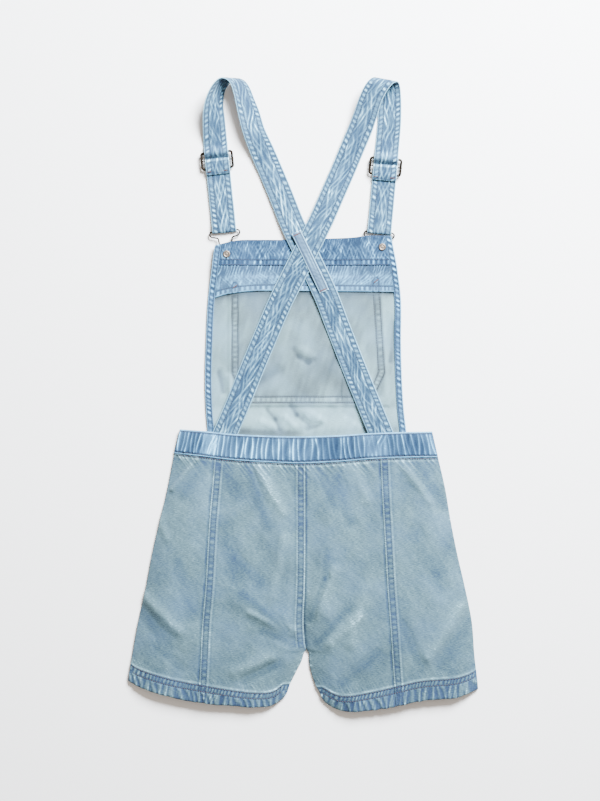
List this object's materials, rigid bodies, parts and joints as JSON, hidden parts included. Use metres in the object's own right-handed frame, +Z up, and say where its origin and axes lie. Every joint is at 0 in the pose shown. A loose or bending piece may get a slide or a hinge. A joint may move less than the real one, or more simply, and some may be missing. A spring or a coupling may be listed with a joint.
{
  "type": "denim dungarees",
  "caption": "Short-legged denim dungarees laid flat, back up: gathered back waistband, bib seen from its inside, crossed straps with shoulder loops, sliders and wire hooks.",
  "frame": {"origin": "middle of the garment at the level of the surface that it lies on", "axes": "+X to the right as seen with the back up, +Y from the hems to the strap loops, +Z up off the surface"},
  "size_m": [0.5245, 0.9483, 0.0302],
  "materials": {
    "washed_denim": "light stone-washed cotton twill, right side, matt",
    "banded_denim": "puckered and stitched twill, worn pale on its ridges",
    "denim_inside": "pale inside of the twill, matt",
    "facing_denim": "clean light blue twill, matt",
    "strap_denim": "double stitched twill with streaky fading",
    "antique_steel": "dark antiqued steel wire, half gloss",
    "aged_brass": "aged brass, soft gloss"
  },
  "bodies": {
    "root": {"back_leg_left_side": "washed_denim", "back_leg_left_centre": "washed_denim", "back_leg_right_centre": "washed_denim", "back_leg_right_side": "washed_denim", "front_leg_left": "washed_denim", "front_leg_right": "washed_denim", "bib_pocket": "washed_denim", "back_waistband": "banded_denim", "front_waistband": "banded_denim", "bib_hem_left": "banded_denim", "bib_hem_right": "banded_denim", "bib_top_band": "banded_denim", "bib": "denim_inside", "bib_facing": "facing_denim", "strap_left": "strap_denim", "strap_right": "strap_denim", "strap_left_return": "strap_denim", "strap_right_return": "strap_denim", "strap_keeper": "strap_denim", "slider_left": "antique_steel", "slider_right": "antique_steel", "hook_left": "antique_steel", "hook_right": "antique_steel", "button_left": "aged_brass", "button_right": "aged_brass", "rivet_left": "aged_brass", "rivet_right": "aged_brass"}
  },
  "joints": []
}
